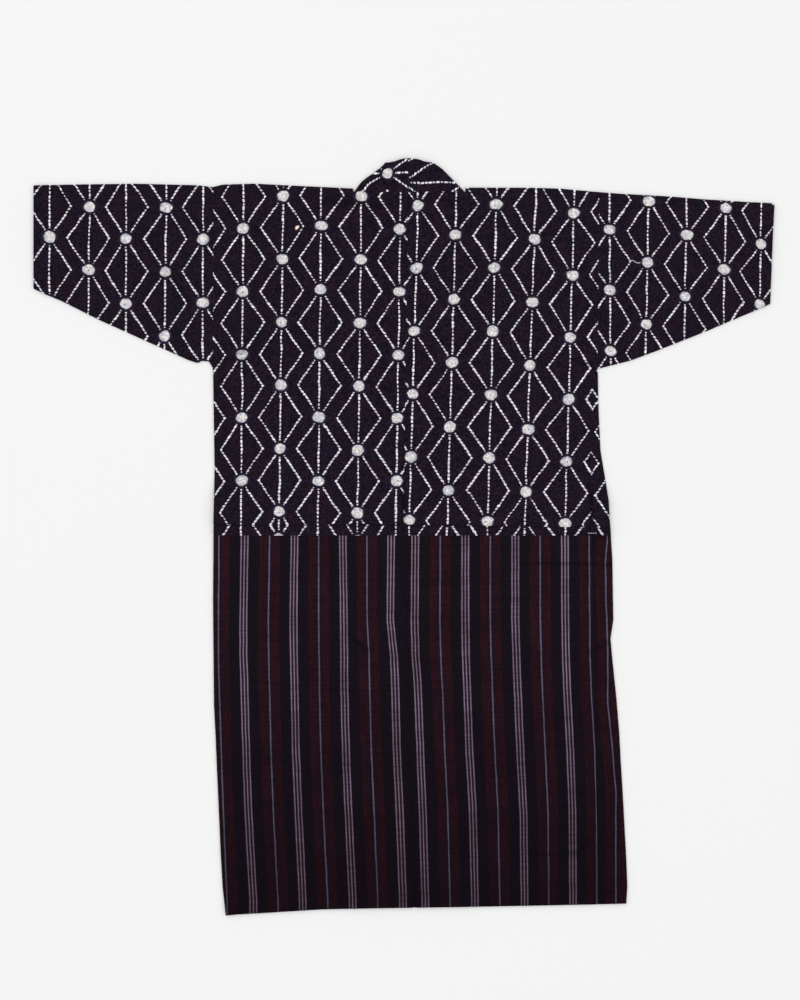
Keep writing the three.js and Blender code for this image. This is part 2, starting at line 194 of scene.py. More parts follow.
def tied_cotton():
    tree, chart, spot, finish = cotton("shibori_cotton")
    across, down, _ = separated(tree, chart)
    place_x, place_y, place_z = separated(tree, spot)
    moved = joined(tree, place_x + 300, place_y, place_z)
    x = across * REPEAT_X + (cloud(tree, spot, 40) - 0.5) * 5 + (cloud(tree, spot, 8) - 0.5) * 1.6
    y = down * REPEAT_Y + (cloud(tree, moved, 40) - 0.5) * 5 + (cloud(tree, moved, 8) - 0.5) * 1.6
    faint = (cloud(tree, moved, 38) - 0.52) * 1.5 + (cloud(tree, spot, 2.6) - 0.5) * 1.9
    stitches = dots = halo = cores = pricks = None
    for lattice in (0, 1):
        own_x, own_y = x - lattice * REPEAT_X, y - lattice * REPEAT_Y / 2
        near_x = own_x.step("WRAP", REPEAT_X, -REPEAT_X)
        near_y = own_y.step("WRAP", REPEAT_Y / 2, -REPEAT_Y / 2)
        column = (own_x / (2 * REPEAT_X) + 0.5).step("FLOOR") * 4 + lattice * 2
        row = (own_y / REPEAT_Y + 0.5).step("FLOOR") * 4
        from_dot = (near_x * near_x + near_y * near_y).step("SQRT")
        slanting = abs(abs(near_x) - abs(near_y) * SPREAD) / SLANT
        lines = [(abs(near_x), near_y, STITCH, column, row),
                 (slanting, abs(near_y) * SLANT, SLANT_STITCH,
                  column + near_x.step("SIGN"), row + near_y.step("SIGN"))]
        for beside, along, pitch, line_x, line_y in lines:
            number = (along / pitch).step("ROUND")
            own = chance(tree, line_x, line_y, number + pitch)
            from_middle = abs(along - number * pitch)
            other = chance(tree, line_x, number - pitch, line_y)
            past_end = (from_middle - own * 0.8 - 0.65).step("MAXIMUM", 0)
            distance = (past_end * past_end + beside * beside).step("SQRT") + other * 0.6 + faint
            mark = distance.falls(1.2, 1.95) * (own * 0.4 + 0.75) * from_dot.falls(*BARE_RING)
            stitches = mark if stitches is None else stitches.step("MAXIMUM", mark)
        wide = chance(tree, column, row, 0.5) * 0.12 + 0.86
        tall = chance(tree, column, row, 1.5) * 0.14 + 0.98
        round_dot = ((near_x * wide) * (near_x * wide) + (near_y * tall) * (near_y * tall)).step("SQRT")
        ragged = round_dot + (cloud(tree, spot, 7, 3) - 0.5) * 4.5
        dot = ragged.falls(*DOT_EDGE)
        dots = dot if dots is None else dots.step("MAXIMUM", dot)
        haze = ragged.falls(9, 13)
        halo = haze if halo is None else halo.step("MAXIMUM", haze)
        core = ragged.falls(3, 7.5)
        cores = core if cores is None else cores.step("MAXIMUM", core)
        off_x = near_x + chance(tree, column, row, 2.5) * 5 - 2.5
        off_y = near_y + chance(tree, column, row, 3.5) * 5 - 2.5
        prick = (off_x * off_x + off_y * off_y).step("SQRT") + chance(tree, column, row, 4.5) * 4
        prick = prick.falls(1.3, 2.4)
        pricks = prick if pricks is None else pricks.step("MAXIMUM", prick)
    streaks = joined(tree, across * 55, down * 1.2, place_z)
    ground = tint(cloud(tree, spot, 22, 4).falls(0.6, 0.4), (38, 21, 32), (25, 23, 38))
    ground = tint((cloud(tree, spot, 11, 4).falls(0.7, 0.3) * 0.4 + cloud(tree, streaks, 1, 2) * 0.3),
                  ground, (19, 14, 22))
    grain = cloud(tree, spot, 2.3, 2).falls(0.68, 0.42) * 0.5
    grain = grain + cloud(tree, moved, 7, 3).falls(0.66, 0.4) * 0.25
    ground = tint(grain, ground, (47, 37, 53))
    ground = tint(cloud(tree, moved, 2.6, 2).falls(0.6, 0.42) * 0.72, ground, (8, 5, 12))
    ground = tint(halo * 0.25, ground, (66, 66, 92))
    specks = cloud(tree, spot, 1.7, 1).falls(0.66, 0.42) * 0.4
    specks = specks + cloud(tree, moved, 4, 2).falls(0.64, 0.4) * 0.6
    undyed = tint(specks, (184, 182, 190), (246, 241, 232))
    rims = (cores * -1 + 1) * cloud(tree, moved, 6, 3).falls(0.56, 0.44)
    undyed = tint(rims * 0.45, undyed, (118, 118, 152))
    undyed = tint(pricks * 0.8, undyed, (70, 62, 84))
    thread = tint(cloud(tree, moved, 5).falls(0.66, 0.34), (206, 199, 214), (246, 243, 247))
    colour = tint(stitches.step("MINIMUM", 1), ground, thread)
    colour = tint(dots, colour, undyed)
    stain_x, stain_y = place_x - STAIN_X, place_y - STAIN_Y
    slant_1, slant_2 = (stain_x + stain_y) / 5.6, (stain_x - stain_y) / 3.4
    stain = (slant_1 * slant_1 + slant_2 * slant_2).step("SQRT") + (cloud(tree, spot, 3) - 0.5) * 0.9
    stain = stain + place_z.falls(1.5, 2) * 9
    colour = tint(stain.falls(1.1, 1.4) * 0.6, colour, (140, 96, 58))
    colour = tint(stain.falls(0.85, 1.05), colour, (234, 226, 208))
    weave = (across * 500).step("SINE") * (down * 790).step("SINE")
    pucker = cloud(tree, spot, 5, 3) * (stitches * 0.6 + 0.5)
    return finish(colour, weave * 0.03 + pucker * 0.5 + dots * 0.2, 0.55)


shibori_cotton = tied_cotton()

# Striped cotton: dark, with three lilac lines close together, black beside them, and maroon on
# both sides of a single thin line between. Painted shade darkens it towards the hem.

STRIPE_REPEAT = 79.5


def woven_stripes():
    tree, chart, spot, finish = cotton("striped_cotton")
    across, down, _ = separated(tree, chart)
    _, _, place_z = separated(tree, spot)
    wobble = (cloud(tree, joined(tree, across * 2, down * 25, 0), 1) - 0.5) * 1.4
    wound = (across * STRIPE_REPEAT + wobble).step("WRAP", STRIPE_REPEAT / 2, -STRIPE_REPEAT / 2)
    beside = abs(wound)
    warp = joined(tree, across * 60, down * 6, 0)
    colour = tint(beside.falls(24, 22.6), (27, 21, 30), (52, 23, 31))
    colour = tint(beside.falls(36, 33), colour, (42, 24, 36))
    colour = tint(beside.falls(7.4, 6.2), (54, 35, 53), colour)
    slubs = cloud(tree, joined(tree, across * 45, down * 60, 0), 1, 2)
    colour = tint(slubs.falls(0.54, 0.36) * 0.34, colour, (8, 6, 9))
    lines = beside.falls(0.6, 1.25).step("MAXIMUM", abs(beside - 5.2).falls(0.6, 1.25))
    colour = tint(lines, colour, (146, 126, 146))
    colour = tint((beside - STRIPE_REPEAT / 2 + 0.9).falls(-0.6, 0.3), (112, 104, 126), colour)
    wefts = cloud(tree, joined(tree, across * 0.9, down * 320, place_z), 1, 3)
    shade = wefts.falls(0.75, 0.25) * 0.35 + cloud(tree, warp, 1, 2).falls(0.7, 0.3) * 0.3
    shade = shade + cloud(tree, spot, 55, 3).falls(0.62, 0.38) * 0.16 - 0.08
    colour = tint(shade.step("MAXIMUM", 0), colour, (14, 10, 14))
    # painted shade: darker towards the hem, as if lit from above
    colour = tint(down.falls(0.7, -0.02) * 0.56, colour, (7, 0, 7))
    weave = (across * 600).step("SINE") * (down * 7900).step("SINE")
    return finish(colour, weave * 0.03 + cloud(tree, spot, 6, 3) * 0.3, 0.5)


striped_cotton = woven_stripes()

# Upper cloth, left and right of the wearer: one length of cotton each, stitched and tied, then
# dyed indigo-black. It runs from the waist up the back, over the shoulder without a seam and
# down the front, and a tuck is folded in it above the waist, back and front.

WALL = 0.8  # thickness of the cotton
PLY = 1.3  # from the middle of one pressed layer to the next
LOWEST = 0.5  # height of the middle of the layer that lies on the surface
HEM_PLY = 0.86  # from the face of a hem to its turned edge
SEAM_SINK = 1.45  # height to which the top layer sinks at a seam
NECK_SEAM = 552.5
NECK_CORNER = {"left": -81.5, "right": 98.5}  # where the neck seam meets the shoulder
BAND_FOOT = {"left": -77, "right": 94}  # where the collar turns over to the front
BAND_SLANT = 0.02  # how far the collar leans inwards for each millimetre down
BAND_ANGLE = math.pi / 4 + math.atan(BAND_SLANT) / 2
BAND_RADIUS = 1.15
UNDERARM = 267
SHOULDER = 558
WAIST = 2.4
TUCK_EDGE = 20.2
TUCK_STITCH = 48.8
TUCK_LEAN = {"left": 0, "right": -4.1}  # rise of its edge from the centre to the coat's side
TUCK_TAKE = {"left": 58, "right": 56}  # cloth hidden in the tuck
WAIST_HEIGHT = {"back": 2.9, "front": 1.0}
TURN_STEPS = 8
OUT = {"left": -1, "right": 1}

shoulder_line = [  # x, y
    (-593, 562), (-540, 564), (-430, 565.5), (-330, 563), (-306, 560), (-290, 564), (-240, 565.5),
    (-180, 562.5), (-118, 559.5), (-80, 557.5), (98, 559), (200, 559), (250, 557.5), (300, 553),
    (345, 549.5), (426, 545), (480, 540.5), (538, 537), (593, 533),
]
left_side = [  # y, x
    (-605, -284), (-595, -285.5), (-550, -290.5), (-500, -293.5), (-422, -297), (-358, -300),
    (-310, -302), (-262, -304.5), (-100, -306), (26, -305), (110, -303.5), (271, -306),
]
right_side = [  # y, x
    (-587, 356), (-566, 357.5), (-526, 356), (-470, 353), (-405, 349.5), (-357, 346.5),
    (-317, 344.5), (-262, 340), (-198, 333.5), (-165, 330.5), (-134, 335), (-37, 333.5),
    (10, 330.5), (58, 327.5), (90, 322.5), (138, 314.5), (200, 311.5), (272, 310),
]
side_seam = [(-590, 311.5), (-300, 305), (-20, 300.5), (270, 301)]  # y, x
centre_seam = [(-605, 17), (-300, 9), (0, -1), (270, 2.5), (553, 6.5)]  # y, x
hem_line = [  # x, y
    (-284, -605.6), (-266, -604), (-214, -601), (-134, -596), (-55, -594), (120, -591.5),
    (226, -589.5), (300, -588), (357, -586.5),
]
armholes = {"left": [(271, -306), (560, -305)], "right": [(270, 309.5), (550, 312.5)]}  # y, x
sleeve_lower = {  # x, y
    "left": [(-593, 398), (-568, 386), (-550, 378.5), (-486, 346.5), (-415, 314.5), (-345, 283),
             (-330, 278), (-324, 281.5), (-312, 281), (-306, 271)],
    "right": [(314, 270), (362, 282), (405, 298), (486, 330), (554, 359), (587, 374)],
}

# Soft folds of the back, from one end to the other: x1, y1, x2, y2, width, height
folds = [
    (150, -42, 318, -43, 22, 0.7), (-92, -150, -48, -195, 26, 1.1), (200, -507, 290, -494, 26, 1.1),
    (324, -164, 262, -186, 28, 0.9), (-150, 532, -40, 520, 28, 1.0), (214, 300, 296, 276, 32, 1.2),
    (-214, 318, -290, 284, 32, 1.0), (-180, 170, -120, 112, 34, 0.9), (120, 126, 236, 148, 34, 0.8),
    (-420, 470, -350, 400, 34, 1.0), (400, 450, 352, 380, 34, 1.0),
]
# Sharper creases and troughs on them
creases = [
    (186, -42, 332, -44, 4, -1.4), (-246, -43, -232, -43, 6, -0.6), (-152, -45, -112, -46, 6, -0.7),
    (-81, -164, -58, -182, 7, -1.1), (202, -507, 276, -506, 8, -0.8), (276, -506, 303, -484, 8, -0.8),
    (-124, 538, -36, 529, 9, -1.1), (-112, 372, -84, 364, 10, -0.7), (246, 292, 300, 274, 8, -0.8),
    (-250, 300, -300, 276, 8, -0.8), (322, -168, 296, -186, 9, -1.2), (-384, 430, -356, 396, 9, -0.6),
    (372, 424, 356, 388, 9, -0.6), (18, -128, 26, -196, 10, -0.6), (-190, -330, -168, -372, 12, -0.5),
    (86, -306, 100, -352, 12, -0.5), (-60, 250, -12, 232, 10, -0.6), (52, 428, 92, 440, 10, -0.5),
]
# Smaller unevenness that pressing left in the cloth, anywhere on the coat
press = random.Random(19)
for _ in range(46):
    x, y, turn = press.uniform(-300, 320), press.uniform(-560, 520), press.uniform(0, math.pi)
    reach, width = press.uniform(14, 46), press.uniform(9, 17)
    dx, dy = reach * math.cos(turn), reach * math.sin(turn)
    height = press.choice((-1, 1)) * press.uniform(0.2, 0.45)
    creases.append((x - dx, y - dy, x + dx, y + dy, width, height))


def reading(rows):
    """Reads a table of places and values, in straight stretches."""
    at, value = zip(*rows)
    return lambda where: np.interp(where, at, value)


def mix(low, high, share):
    return low + (high - low) * share


def soft(share):
    share = np.clip(share, 0, 1)
    return share * share * (3 - 2 * share)


top_at, hem_at, centre_at = reading(shoulder_line), reading(hem_line), reading(centre_seam)
left_at, right_at, side_seam_at = reading(left_side), reading(right_side), reading(side_seam)
armhole_at = {side: reading(armholes[side]) for side in OUT}
sleeve_low_at = {side: reading(sleeve_lower[side]) for side in OUT}


def level(layer):
    return LOWEST + layer * PLY


def relief(lines, x, y):
    """Height of soft lines, each from one point to another."""
    total = np.zeros(np.broadcast(x, y).shape)
    for x1, y1, x2, y2, width, height in lines:
        dx, dy = x2 - x1, y2 - y1
        near = np.clip(((x - x1) * dx + (y - y1) * dy) / (dx * dx + dy * dy), 0, 1)
        total += height * soft(1 - np.hypot(x - x1 - near * dx, y - y1 - near * dy) / width)
    return total


def ripple(x, y, size, seed):
    """Smooth unevenness of about that size, between -1 and 1."""
    x, y = np.broadcast_arrays(x, y)
    values = [noise.noise((a / size, b / size, seed)) for a, b in zip(x.ravel(), y.ravel())]
    return np.reshape(values, x.shape)


def band_edge(side, y):
    """Outer edge of the collar on the front, where the front's cloth meets it."""
    turned = math.pi * BAND_RADIUS
    down = NECK_SEAM + turned * math.cos(BAND_ANGLE) - y
    return BAND_FOOT[side] + OUT[side] * (turned * math.sin(BAND_ANGLE) - BAND_SLANT * down)


def edge_distance(x, y):
    """Distance to the nearest folded or seamed edge of the coat."""
    above = np.maximum(0, y - UNDERARM)
    to_left, to_right = x - left_at(y), right_at(y) - x
    left = np.where(to_left < 0, y - sleeve_low_at["left"](x), np.hypot(to_left, above))
    right = np.where(to_right < 0, y - sleeve_low_at["right"](x), np.hypot(to_right, above))
    return np.maximum(0, np.minimum.reduce([top_at(x) - y, y - hem_at(x), left, right]))


def back_height(x, y):
    """Height of the top layer: low at its edges, lofted, and lifted over the collar's fronts."""
    inside = soft(edge_distance(x, y) / 60)
    outside = np.maximum(0, np.maximum(band_edge("left", y) - 12 - x, x - band_edge("right", y) - 12))
    lifted = np.maximum(0.9 * inside, 1.5 * soft(1 - outside / 45))
    unevenness = 0.5 * ripple(x, y, 75, 3) + 0.16 * ripple(x, y, 21, 8)
    inner = soft(edge_distance(x, y) / 14)
    return level(1) + lifted + (relief(folds, x, y) + unevenness) * inside + relief(creases, x, y) * inner


def sunk(z, distance, along, reach=5):
    """Sinks the top layer to a seam, with the small puckers of hand stitches beside it."""
    puckers = 0.22 * np.array([noise.noise((a / 4.2, 0.5, 2.5)) for a in np.ravel(along)])
    puckers = np.reshape(puckers, np.shape(along)) * soft(1 - distance / 13)
    return mix(z + puckers, np.minimum(z, SEAM_SINK), soft(1 - distance / reach))


def fold_steps(edge, bulge, start, end):
    """A pressed fold as steps of y and z; bulge is 1 where it points up the coat."""
    angles = np.linspace(math.pi / 2, -math.pi / 2, TURN_STEPS + 1)
    return [(edge - bulge * PLY / 2 * (1 - math.cos(a)), mix(start, end, (1 - math.sin(a)) / 2))
            for a in angles]


def tuck_steps(face, take):
    """Steps of y, z and place along the cloth, from the waist seam up through the tuck."""
    inner, middle, outer = {"back": (3, 4, 5), "front": (2, 1, 0)}[face]
    hidden = (take - (TUCK_STITCH - TUCK_EDGE)) / (TUCK_STITCH - TUCK_EDGE)
    low = [2.4, 2.9, 3.6, 4.6, 6, 8, 10.5, 13, 15.5, 18, 21, 26, 32, 38, 44]
    steps = [(y, mix(WAIST_HEIGHT[face] - 0.7, level(inner), soft((y - WAIST) / 9) ** 0.6)) for y in low]
    steps += fold_steps(TUCK_STITCH, 1, level(inner), level(middle))
    turned = len(steps) - TURN_STEPS // 2 - 1
    steps += [(y, level(middle)) for y in (42, 35, 28, 23)]
    steps += fold_steps(TUCK_EDGE, -1, level(middle), level(outer))
    turned_back = len(steps) - TURN_STEPS // 2 - 1
    along = []
    for number, (y, z) in enumerate(steps):
        if number <= turned:
            along.append(y - take)
        elif number <= turned_back:
            along.append(TUCK_EDGE - (y - TUCK_EDGE) * hidden)
        else:
            along.append(y)
    return [(y, z, place) for (y, z), place in zip(steps, along)]


# Columns of tied dots: number, x at y 500, x at y 100, highest dot, distance between dots.
# Dots of the odd columns lie half a distance below or above those of the even ones.
columns = {
    "left": [(0, -257, -260, 494, 101), (1, -194, -199, 545.5, 100.8), (2, -133, -137, 498, 102),
             (3, -68.5, -73.5, 545, 101.4), (4, -6, -12, 492.5, 100.7)],
    "right": [(0, 21.5, 10.5, 530, 100.4), (1, 82.5, 71.5, 483, 102.2), (2, 147, 136, 532, 101.3),
              (3, 209.5, 195.5, 477, 101.3), (4, 271.5, 260, 517, 99), (5, 333, 321, 474, 101.3)],
}
first_odd = {"left": -0.5, "right": 0.5}
front_columns = {
    "left": columns["left"],
    "right": [*columns["right"][:5], (5, 324, 324, 450, 101), (6, 386, 386, 496, 101)],
}
WRAPPED = 664  # a place on the strip and the same place counted round the edge add up to this


def carried(x, knots, values):
    """Reads values between knots in straight stretches, and carries the end ones on."""
    slopes = [(values[k + 1] - values[k]) / (knots[k + 1] - knots[k]) for k in range(len(knots) - 1)]
    result = values[0] + (x - knots[0]) * slopes[0]
    for k in range(1, len(slopes)):
        result = result + np.maximum(0, x - knots[k]) * (slopes[k] - slopes[k - 1])
    return result


def dot_chart(rows, odd, x, y, along):
    """Place in the pattern of tied dots: columns counted across, dots counted down."""
    knots = [mix(low, high, (y - 100) / 400) for _, high, low, _, _ in rows]
    across = carried(x, knots, [row[0] for row in rows])
    down = [(dot - along) / apart + (odd if number % 2 else 0) for number, _, _, dot, apart in rows]
    return across, carried(x, knots, down)


def cloth_piece(name, points, chart, kept=None):
    """A sheet of cloth through rows of points, with its place in the pattern as its UV map."""
    rows, cols = points.shape[:2]
    sheet = bmesh.new()
    pattern = sheet.loops.layers.uv.new("cloth")
    bmesh.ops.create_grid(sheet, x_segments=cols - 1, y_segments=rows - 1, size=1)
    place = {}
    for vert in sheet.verts:
        place[vert] = (round((vert.co.y + 1) / 2 * (rows - 1)), round((vert.co.x + 1) / 2 * (cols - 1)))
    for face in sheet.faces:
        for loop in face.loops:
            loop[pattern].uv = chart[place[loop.vert]]
    for vert, at in place.items():
        vert.co = points[at] * MM
    if kept is not None:
        spare = [face for face in sheet.faces if not all(kept[place[vert]] for vert in face.verts)]
        bmesh.ops.delete(sheet, geom=spare, context="FACES")
        lone = [vert for vert in sheet.verts if not vert.link_faces]
        bmesh.ops.delete(sheet, geom=lone, context="VERTS")
    if sum(face.normal.z * face.calc_area() for face in sheet.faces if face.calc_area() > 0) < 0:
        bmesh.ops.reverse_faces(sheet, faces=sheet.faces)
    mesh = bpy.data.meshes.new(name)
    sheet.to_mesh(mesh)
    sheet.free()
    at = np.array([vert.co for vert in mesh.vertices]) / MM
    # depth in the creases, kept as an attribute so that the material paints shade into them
    painted_crease_shade = -relief(creases, at[:, 0], at[:, 1]) * (at[:, 2] > level(0) + 0.5)
    mesh.attributes.new("painted_crease_shade", "FLOAT", "POINT").data.foreach_set("value", painted_crease_shade.astype(np.float32))
    piece = bpy.data.objects.new(name, mesh)
    bpy.context.scene.collection.objects.link(piece)
    wall = piece.modifiers.new("wall", "SOLIDIFY")
    wall.thickness, wall.offset = WALL * MM, 0
    bpy.context.view_layer.objects.active = piece
    bpy.ops.object.modifier_apply(modifier="wall")
    piece.data.shade_smooth()
    piece.data.set_sharp_from_angle(angle=math.radians(62))
    return piece


def spaced(length, step, ends=(0, 0.7, 1.6, 2.8, 4.4, 6.6, 9.6)):
    """Shares of a length: close together at both ends, and a step apart between them."""
    middle = np.linspace(ends[-1], length - ends[-1], max(2, round((length - 2 * ends[-1]) / step)))
    return np.concatenate([ends[:-1], middle, [length - end for end in reversed(ends[:-1])]]) / length


STRIP = np.array([0, 0.02, 0.06, 0.12, 0.2, 0.32, 0.48, 0.66, 0.84])  # from the side seam to the turn
TURN = np.linspace(math.pi / 2, -math.pi / 2, 11)[:-1]  # and round the right edge to the front


def wrap_columns(y, low, high, radius, strip_height):
    """The strip of the right front that lies on top, and its turn round the right edge."""
    middle, own = right_at(y) - WALL / 2 - radius, (high - low) / 2
    strip = mix(side_seam_at(y), middle, STRIP)
    x = np.concatenate([strip, middle + own * np.cos(TURN)])
    z = np.concatenate([strip_height(strip), low + own * (1 + np.sin(TURN))])
    unrolled = np.concatenate([2 * middle + math.pi * own - strip, middle + own * (math.pi / 2 + TURN)])
    return middle, x, z, unrolled


climb = np.concatenate([[21.9, 23.6, 26, 29, 33, 37.5, 42, 46.5], np.linspace(51, 262.5, 52),
                        [265.5, 266.9, 267.1, 268.5], np.linspace(272, 520, 60),
                        [525, 530, 535, 539, 543, 546.5, 549.5, 552, 554.5, 556.5, SHOULDER]])
# How far down the cloth each height of the front is, from the shoulder: y, place along the cloth
front_reach = {
    "left": reading([(-60, 1178), (SHOULDER, 560)]),
    "right": reading([(-60, 1129), (115, 955), (300, 772), (SHOULDER, 560)]),
}


def upper_height(x, y):
    return mix(level(5), back_height(x, y), soft((y - TUCK_STITCH) / 50))


def upper_row(side, panel, neck, face, nominal, pressed, along):
    """One row of the upper cloth: points, and places across and along the cloth."""
    above = nominal > UNDERARM
    low = level(0) if pressed is None else pressed
    over = float(upper_height(right_at(nominal), nominal))
    high = over if pressed is None else level(5) + level(0) - low
    radius = (high - low) / 2 if pressed is None or nominal < TUCK_EDGE else (level(5) - level(0)) / 2
    strip_height = (lambda x: upper_height(x, nominal)) if pressed is None else (lambda x: 0 * x + high)
    middle, wrap_x, wrap_z, unrolled = wrap_columns(nominal, low, high, radius, strip_height)
    wrap_z = sunk(wrap_z, np.abs(wrap_x - side_seam_at(nominal)), nominal)
    if above:
        outer = armhole_at[side](nominal)
    elif side == "left":
        outer = left_at(nominal) + WALL / 2
    else:
        outer = side_seam_at(nominal) if face == "back" else middle
    corner = NECK_CORNER[side]
    inner = band_edge(side, nominal) if face == "front" and nominal < NECK_SEAM - 4 else corner
    x = np.concatenate([mix(outer, inner, panel), mix(corner, centre_at(nominal), neck)])
    held = along < TUCK_STITCH - TUCK_TAKE[side]
    loose = 0 if held else np.clip((TUCK_STITCH - nominal) / (TUCK_STITCH - TUCK_EDGE), 0, 1)
    lean = TUCK_LEAN[side] / 300 * loose
    lower, wrap_lower = lean * (x - centre_at(nominal)), lean * (wrap_x - centre_at(nominal))
    crest = back_height(x, top_at(x))
    round_top = (crest - level(0)) / 2
    top = top_at(x) - WALL / 2 - round_top
    if face == "shoulder":
        y, z = top + round_top * math.cos(pressed), level(0) + round_top * (1 + math.sin(pressed))
        cloth = top + round_top * (math.pi / 2 - pressed)
    elif pressed is not None:
        y, z = nominal + lower, np.full(len(x), pressed)
    else:
        reach = np.where(np.arange(len(x)) < len(panel), top, NECK_SEAM + 1.6)
        y = nominal + lower + (reach - SHOULDER) * soft((nominal - 400) / (SHOULDER - 400))
        z = upper_height(x, y) if face == "back" else np.full(len(x), level(0))
    if face == "back":
        cloth = y if pressed is None else along + lower
        z = sunk(z, np.abs(x - centre_at(nominal)), y)
        z = sunk(z, np.abs(x - outer), y) if above or side == "right" else z
    elif face == "front":
        cloth = front_reach[side](along) + (top + math.pi * round_top - 560) * soft((nominal - 400) / 158)
    low_y = np.clip(y, 0, 560)
    chart = np.array(dot_chart(columns[side], first_odd[side], x, low_y, cloth))
    turned = soft((430 - nominal) / 150) * (WRAPPED - 2 * middle - math.pi * (high - low) / 2)
    if face == "front" and side == "right":
        own_chart = np.array(dot_chart(front_columns[side], first_odd[side], x + turned, low_y, cloth))
        chart = mix(chart, own_chart, soft((SHOULDER - nominal) / 250))
    row = np.stack([x, y, z, *chart], axis=1)
    if side == "left":
        return row
    wrap_y = nominal + wrap_lower
    wrap_cloth = front_reach[side](along) - wrap_lower
    wrap_chart = dot_chart(front_columns[side], first_odd[side], unrolled + turned, wrap_y, wrap_cloth)
    return np.concatenate([np.stack([wrap_x, wrap_y, wrap_z, *wrap_chart], axis=1), row])


def upper_cloth(side):
    panel, neck = spaced(225, 4.2), spaced(88, 4.4)[1:]
    way = [("back", *step) for step in tuck_steps("back", TUCK_TAKE[side])]
    way += [("back", y, None, y) for y in climb]
    way += [("shoulder", SHOULDER, angle, 0) for angle in np.linspace(math.pi / 2, -math.pi / 2, 9)[1:-1]]
    way += [("front", y, None, y) for y in climb[::-1]]
    way += [("front", *step) for step in tuck_steps("front", TUCK_TAKE[side])[::-1]]
    rows = np.array([upper_row(side, panel, neck, *step) for step in way])
    last_back = max(number for number, step in enumerate(way) if step[0] == "back")
    column, number = np.meshgrid(np.arange(rows.shape[1]), np.arange(len(way)))
    neck_start = rows.shape[1] - len(neck)
    kept = (column < neck_start) | (number < last_back)
    if side == "right":
        low_front = np.array([face == "front" and y < UNDERARM for face, y, _, _ in way])
        kept &= (column >= len(STRIP) + len(TURN)) | low_front[:, None]
    return cloth_piece(f"upper_cloth_{side}", rows[..., :3], rows[..., 3:], kept)


for side in OUT:
    piece = upper_cloth(side)
    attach(piece, "root")
    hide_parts(f"upper_{side}")
    piece.data.materials.append(shibori_cotton)

# Sleeves: one cloth each of the same cotton, folded along its top, tapered and seamed below,
# set into the armhole by a straight seam, and hemmed inwards at the open cuff.

cuff_line = {"left": [(394, -592.8), (562, -592.8)], "right": [(374, 586), (480, 590), (533, 592.8)]}
CUFF_HEM = 13
sleeve_columns = {
    "left": [(-1, -567, -568, 479.5, 104), (0, -503.5, -510, 528, 101), (1, -445, -444.5, 477.5, 103.5),
             (2, -380.5, -385.5, 527, 102.6), (3, -321.5, -322.5, 476.5, 102)],
    "right": [(0, 329, 331.5, 491.5, 96.8), (1, 391, 382, 538, 98.9), (2, 452, 444, 483, 98.7),
              (3, 514.5, 506, 526, 98.3), (4, 571.5, 563, 469, 96.5)],
}
sleeve_odd = {"left": 0.5, "right": -0.5}


def hem_steps(width, room):
    """A turned hem, from its raw edge to its fold and out: distance from the fold, depth inside."""
    steps = [(width * share, HEM_PLY) for share in (1, 0.75, 0.5, 0.3, 0.15)]
    bend = np.linspace(-math.pi / 2, math.pi / 2, 7)
    steps += [(HEM_PLY / 2 * (1 - math.cos(a)), HEM_PLY / 2 * (1 - math.sin(a))) for a in bend]
    return steps + [(distance, 0) for distance in room]


def sleeve(side):
    out = OUT[side]
    length = abs(armhole_at[side](400) - reading(cuff_line[side])(400))
    steps = hem_steps(CUFF_HEM, (1.2, 2.4, 4, 6.5, 9.5, 12, 13.2, 14.5, 17))
    steps += [(distance, 0) for distance in np.linspace(21, length - 10, round((length - 31) / 4.2))]
    steps += [(length - rest, 0) for rest in (7, 4.8, 3.2, 2, 1, 0)]
    down = spaced(250, 4.5, ends=(1.5, 3, 5, 7.5))
    quarter, flat = np.linspace(0, math.pi / 2, 5), 0 * down
    half = np.linspace(math.pi / 2, -math.pi / 2, 9)
    shares = np.concatenate([1 + 0 * quarter, down[::-1], 0 * half, down, 1 + 0 * quarter])
    turns = np.concatenate([quarter, flat, half, flat, -quarter[::-1]])
    turning = np.concatenate([1 + 0 * quarter, flat, 1 + 0 * half, flat, 1 + 0 * quarter]) > 0
    faces = np.concatenate([1 + 0 * quarter, 1 + flat, 0 * half, flat - 1, 0 * quarter - 1])
    rows = []
    for distance, depth in steps:
        share = distance / length
        x = np.full(len(shares), mix(reading(cuff_line[side])(400), armhole_at[side](400), share))
        for _ in range(3):
            y = mix(top_at(x) - 1.1, sleeve_low_at[side](x) + 1.1, shares)
            x = mix(reading(cuff_line[side])(y) - out * WALL / 2, armhole_at[side](y), share)
        cuffed = 1.3 * (1 - soft((distance - CUFF_HEM) / 30))
        round_edge = (level(1) + cuffed - level(0)) / 2 - depth
        outwards = np.where(shares == 1, -1, 1)
        flat_z = np.where(faces > 0, back_height(x, y) + cuffed - depth, level(0) + depth)
        y = np.where(turning, y + outwards * round_edge * np.cos(turns), y)
        z = np.where(turning, level(0) + depth + round_edge * (1 + np.sin(turns)), flat_z)
        z = np.where(faces > 0, sunk(z, length - distance, y), z)
        over = np.where(faces > 0, y, 2 * top_at(x) - y)
        chart = dot_chart(sleeve_columns[side], sleeve_odd[side], x, np.clip(y, 250, 560), over)
        rows.append(np.stack([x, y, z, *chart], axis=1))
    rows = np.array(rows)
    return cloth_piece(f"sleeve_cloth_{side}", rows[..., :3], rows[..., 3:])


for side in OUT:
    piece = sleeve(side)
    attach(piece, "root")
    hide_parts(f"sleeve_{side}")
    piece.data.materials.append(shibori_cotton)

# Collar: a doubled band of the same cotton in two lengths, joined at the centre back. It is sewn
# to the neck with its folded edge standing up behind it, turns flat over each shoulder, and
# runs down the front's edge to the hem.

